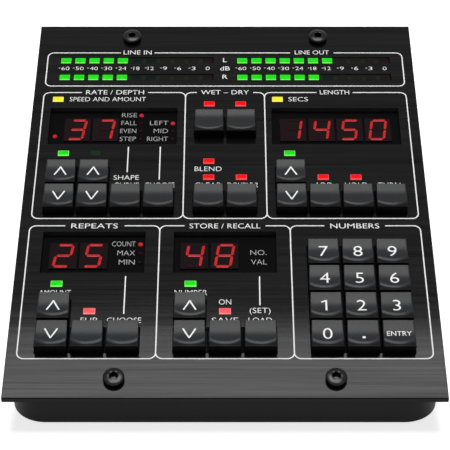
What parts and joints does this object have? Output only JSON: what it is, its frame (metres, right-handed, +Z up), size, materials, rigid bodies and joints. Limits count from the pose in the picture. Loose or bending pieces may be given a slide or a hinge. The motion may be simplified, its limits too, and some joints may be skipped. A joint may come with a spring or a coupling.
{
  "type": "digital delay unit",
  "caption": "Desktop digital delay unit: a sloping metal panel with push keys, level meters and seven-segment displays on a moulded plastic base.",
  "frame": {"origin": "centre of the footprint at table height, under the middle of the base", "axes": "+X to the user's right along the key rows, +Y from the low front edge to the high rear edge, +Z up from the table"},
  "size_m": [0.1358, 0.1624, 0.054],
  "materials": {
    "panel_metal": "black anodised, brushed across",
    "black_steel": "black oxide",
    "brass": "machined",
    "base_plastic": "fine moulded grain",
    "foot_rubber": "matt",
    "key_plastic": "satin",
    "display_plastic": "smooth",
    "display_red": "lit segments",
    "mask_plastic": "flat black",
    "lamp_red": "diffused lens",
    "lamp_green": "diffused lens",
    "lamp_yellow": "diffused lens",
    "meter_green": "diffused lens",
    "board_green": "solder mask",
    "plated_steel": "plated",
    "switch_plastic": "moulded",
    "chip_plastic": "moulded",
    "white_print": "printed"
  },
  "bodies": {
    "chassis": {"base_shell": "base_plastic", "board_screws": "plated_steel", "board_standoffs": "plated_steel", "data_socket": "plated_steel", "digit_bars": "display_red", "digits_lower_left": "display_plastic", "digits_lower_middle": "display_plastic", "digits_upper_left": "display_plastic", "digits_upper_right": "display_plastic", "dot_lamps": "lamp_red", "driver_chips": "chip_plastic", "faceplate": "panel_metal", "faceplate_screws": "black_steel", "green_lamps": "lamp_green", "key_switches": "switch_plastic", "main_board": "board_green", "meter_bars": "meter_green", "meter_bodies": "display_plastic", "processor_chip": "chip_plastic", "red_lamps": "lamp_red", "rubber_feet": "foot_rubber", "threaded_inserts": "brass", "window_masks": "mask_plastic", "yellow_lamps": "lamp_yellow"},
    "centre_key_1": {"centre_key_1": "key_plastic"},
    "centre_key_2": {"centre_key_2": "key_plastic"},
    "centre_top_key_1": {"centre_top_key_1": "key_plastic"},
    "centre_top_key_2": {"centre_top_key_2": "key_plastic"},
    "keypad_key_0": {"keypad_key_0": "key_plastic"},
    "keypad_key_1": {"keypad_key_1": "key_plastic"},
    "keypad_key_2": {"keypad_key_2": "key_plastic"},
    "keypad_key_3": {"keypad_key_3": "key_plastic"},
    "keypad_key_4": {"keypad_key_4": "key_plastic"},
    "keypad_key_5": {"keypad_key_5": "key_plastic"},
    "keypad_key_6": {"keypad_key_6": "key_plastic"},
    "keypad_key_7": {"keypad_key_7": "key_plastic"},
    "keypad_key_8": {"keypad_key_8": "key_plastic"},
    "keypad_key_9": {"keypad_key_9": "key_plastic"},
    "keypad_key_enter": {"keypad_key_enter": "key_plastic"},
    "keypad_key_point": {"keypad_key_point": "key_plastic"},
    "lower_left_key_1": {"lower_left_key_1": "key_plastic"},
    "lower_left_key_2": {"lower_left_key_2": "key_plastic"},
    "lower_left_key_3": {"lower_left_key_3": "key_plastic"},
    "lower_left_up_key_1": {"lower_left_up_key_1": "key_plastic"},
    "lower_middle_key_1": {"lower_middle_key_1": "key_plastic"},
    "lower_middle_key_2": {"lower_middle_key_2": "key_plastic"},
    "lower_middle_key_3": {"lower_middle_key_3": "key_plastic"},
    "lower_middle_up_key_1": {"lower_middle_up_key_1": "key_plastic"},
    "upper_left_key_1": {"upper_left_key_1": "key_plastic"},
    "upper_left_key_2": {"upper_left_key_2": "key_plastic"},
    "upper_left_key_3": {"upper_left_key_3": "key_plastic"},
    "upper_left_key_4": {"upper_left_key_4": "key_plastic"},
    "upper_left_up_key_1": {"upper_left_up_key_1": "key_plastic"},
    "upper_left_up_key_2": {"upper_left_up_key_2": "key_plastic"},
    "upper_right_key_1": {"upper_right_key_1": "key_plastic"},
    "upper_right_key_2": {"upper_right_key_2": "key_plastic"},
    "upper_right_key_3": {"upper_right_key_3": "key_plastic"},
    "upper_right_key_4": {"upper_right_key_4": "key_plastic"},
    "upper_right_up_key_1": {"upper_right_up_key_1": "key_plastic"}
  },
  "joints": [
    {"name": "centre_key_1_press", "type": "slide", "parent": "chassis", "child": "centre_key_1", "axis": [0, 0.2334, -0.9724], "range_m": [0, 0.0008], "stiffness_N_per_m": 1200, "springref_m": -0.0003},
    {"name": "centre_key_2_press", "type": "slide", "parent": "chassis", "child": "centre_key_2", "axis": [0, 0.2334, -0.9724], "range_m": [0, 0.0008], "stiffness_N_per_m": 1200, "springref_m": -0.0003},
    {"name": "centre_top_key_1_press", "type": "slide", "parent": "chassis", "child": "centre_top_key_1", "axis": [0, 0.2334, -0.9724], "range_m": [0, 0.0008], "stiffness_N_per_m": 1200, "springref_m": -0.0003},
    {"name": "centre_top_key_2_press", "type": "slide", "parent": "chassis", "child": "centre_top_key_2", "axis": [0, 0.2334, -0.9724], "range_m": [0, 0.0008], "stiffness_N_per_m": 1200, "springref_m": -0.0003},
    {"name": "keypad_key_0_press", "type": "slide", "parent": "chassis", "child": "keypad_key_0", "axis": [0, 0.2334, -0.9724], "range_m": [0, 0.0008], "stiffness_N_per_m": 1200, "springref_m": -0.0003},
    {"name": "keypad_key_1_press", "type": "slide", "parent": "chassis", "child": "keypad_key_1", "axis": [0, 0.2334, -0.9724], "range_m": [0, 0.0008], "stiffness_N_per_m": 1200, "springref_m": -0.0003},
    {"name": "keypad_key_2_press", "type": "slide", "parent": "chassis", "child": "keypad_key_2", "axis": [0, 0.2334, -0.9724], "range_m": [0, 0.0008], "stiffness_N_per_m": 1200, "springref_m": -0.0003},
    {"name": "keypad_key_3_press", "type": "slide", "parent": "chassis", "child": "keypad_key_3", "axis": [0, 0.2334, -0.9724], "range_m": [0, 0.0008], "stiffness_N_per_m": 1200, "springref_m": -0.0003},
    {"name": "keypad_key_4_press", "type": "slide", "parent": "chassis", "child": "keypad_key_4", "axis": [0, 0.2334, -0.9724], "range_m": [0, 0.0008], "stiffness_N_per_m": 1200, "springref_m": -0.0003},
    {"name": "keypad_key_5_press", "type": "slide", "parent": "chassis", "child": "keypad_key_5", "axis": [0, 0.2334, -0.9724], "range_m": [0, 0.0008], "stiffness_N_per_m": 1200, "springref_m": -0.0003},
    {"name": "keypad_key_6_press", "type": "slide", "parent": "chassis", "child": "keypad_key_6", "axis": [0, 0.2334, -0.9724], "range_m": [0, 0.0008], "stiffness_N_per_m": 1200, "springref_m": -0.0003},
    {"name": "keypad_key_7_press", "type": "slide", "parent": "chassis", "child": "keypad_key_7", "axis": [0, 0.2334, -0.9724], "range_m": [0, 0.0008], "stiffness_N_per_m": 1200, "springref_m": -0.0003},
    {"name": "keypad_key_8_press", "type": "slide", "parent": "chassis", "child": "keypad_key_8", "axis": [0, 0.2334, -0.9724], "range_m": [0, 0.0008], "stiffness_N_per_m": 1200, "springref_m": -0.0003},
    {"name": "keypad_key_9_press", "type": "slide", "parent": "chassis", "child": "keypad_key_9", "axis": [0, 0.2334, -0.9724], "range_m": [0, 0.0008], "stiffness_N_per_m": 1200, "springref_m": -0.0003},
    {"name": "keypad_key_enter_press", "type": "slide", "parent": "chassis", "child": "keypad_key_enter", "axis": [0, 0.2334, -0.9724], "range_m": [0, 0.0008], "stiffness_N_per_m": 1200, "springref_m": -0.0003},
    {"name": "keypad_key_point_press", "type": "slide", "parent": "chassis", "child": "keypad_key_point", "axis": [0, 0.2334, -0.9724], "range_m": [0, 0.0008], "stiffness_N_per_m": 1200, "springref_m": -0.0003},
    {"name": "lower_left_key_1_press", "type": "slide", "parent": "chassis", "child": "lower_left_key_1", "axis": [0, 0.2334, -0.9724], "range_m": [0, 0.0008], "stiffness_N_per_m": 1200, "springref_m": -0.0003},
    {"name": "lower_left_key_2_press", "type": "slide", "parent": "chassis", "child": "lower_left_key_2", "axis": [0, 0.2334, -0.9724], "range_m": [0, 0.0008], "stiffness_N_per_m": 1200, "springref_m": -0.0003},
    {"name": "lower_left_key_3_press", "type": "slide", "parent": "chassis", "child": "lower_left_key_3", "axis": [0, 0.2334, -0.9724], "range_m": [0, 0.0008], "stiffness_N_per_m": 1200, "springref_m": -0.0003},
    {"name": "lower_left_up_key_1_press", "type": "slide", "parent": "chassis", "child": "lower_left_up_key_1", "axis": [0, 0.2334, -0.9724], "range_m": [0, 0.0008], "stiffness_N_per_m": 1200, "springref_m": -0.0003},
    {"name": "lower_middle_key_1_press", "type": "slide", "parent": "chassis", "child": "lower_middle_key_1", "axis": [0, 0.2334, -0.9724], "range_m": [0, 0.0008], "stiffness_N_per_m": 1200, "springref_m": -0.0003},
    {"name": "lower_middle_key_2_press", "type": "slide", "parent": "chassis", "child": "lower_middle_key_2", "axis": [0, 0.2334, -0.9724], "range_m": [0, 0.0008], "stiffness_N_per_m": 1200, "springref_m": -0.0003},
    {"name": "lower_middle_key_3_press", "type": "slide", "parent": "chassis", "child": "lower_middle_key_3", "axis": [0, 0.2334, -0.9724], "range_m": [0, 0.0008], "stiffness_N_per_m": 1200, "springref_m": -0.0003},
    {"name": "lower_middle_up_key_1_press", "type": "slide", "parent": "chassis", "child": "lower_middle_up_key_1", "axis": [0, 0.2334, -0.9724], "range_m": [0, 0.0008], "stiffness_N_per_m": 1200, "springref_m": -0.0003},
    {"name": "upper_left_key_1_press", "type": "slide", "parent": "chassis", "child": "upper_left_key_1", "axis": [0, 0.2334, -0.9724], "range_m": [0, 0.0008], "stiffness_N_per_m": 1200, "springref_m": -0.0003},
    {"name": "upper_left_key_2_press", "type": "slide", "parent": "chassis", "child": "upper_left_key_2", "axis": [0, 0.2334, -0.9724], "range_m": [0, 0.0008], "stiffness_N_per_m": 1200, "springref_m": -0.0003},
    {"name": "upper_left_key_3_press", "type": "slide", "parent": "chassis", "child": "upper_left_key_3", "axis": [0, 0.2334, -0.9724], "range_m": [0, 0.0008], "stiffness_N_per_m": 1200, "springref_m": -0.0003},
    {"name": "upper_left_key_4_press", "type": "slide", "parent": "chassis", "child": "upper_left_key_4", "axis": [0, 0.2334, -0.9724], "range_m": [0, 0.0008], "stiffness_N_per_m": 1200, "springref_m": -0.0003},
    {"name": "upper_left_up_key_1_press", "type": "slide", "parent": "chassis", "child": "upper_left_up_key_1", "axis": [0, 0.2334, -0.9724], "range_m": [0, 0.0008], "stiffness_N_per_m": 1200, "springref_m": -0.0003},
    {"name": "upper_left_up_key_2_press", "type": "slide", "parent": "chassis", "child": "upper_left_up_key_2", "axis": [0, 0.2334, -0.9724], "range_m": [0, 0.0008], "stiffness_N_per_m": 1200, "springref_m": -0.0003},
    {"name": "upper_right_key_1_press", "type": "slide", "parent": "chassis", "child": "upper_right_key_1", "axis": [0, 0.2334, -0.9724], "range_m": [0, 0.0008], "stiffness_N_per_m": 1200, "springref_m": -0.0003},
    {"name": "upper_right_key_2_press", "type": "slide", "parent": "chassis", "child": "upper_right_key_2", "axis": [0, 0.2334, -0.9724], "range_m": [0, 0.0008], "stiffness_N_per_m": 1200, "springref_m": -0.0003},
    {"name": "upper_right_key_3_press", "type": "slide", "parent": "chassis", "child": "upper_right_key_3", "axis": [0, 0.2334, -0.9724], "range_m": [0, 0.0008], "stiffness_N_per_m": 1200, "springref_m": -0.0003},
    {"name": "upper_right_key_4_press", "type": "slide", "parent": "chassis", "child": "upper_right_key_4", "axis": [0, 0.2334, -0.9724], "range_m": [0, 0.0008], "stiffness_N_per_m": 1200, "springref_m": -0.0003},
    {"name": "upper_right_up_key_1_press", "type": "slide", "parent": "chassis", "child": "upper_right_up_key_1", "axis": [0, 0.2334, -0.9724], "range_m": [0, 0.0008], "stiffness_N_per_m": 1200, "springref_m": -0.0003}
  ]
}
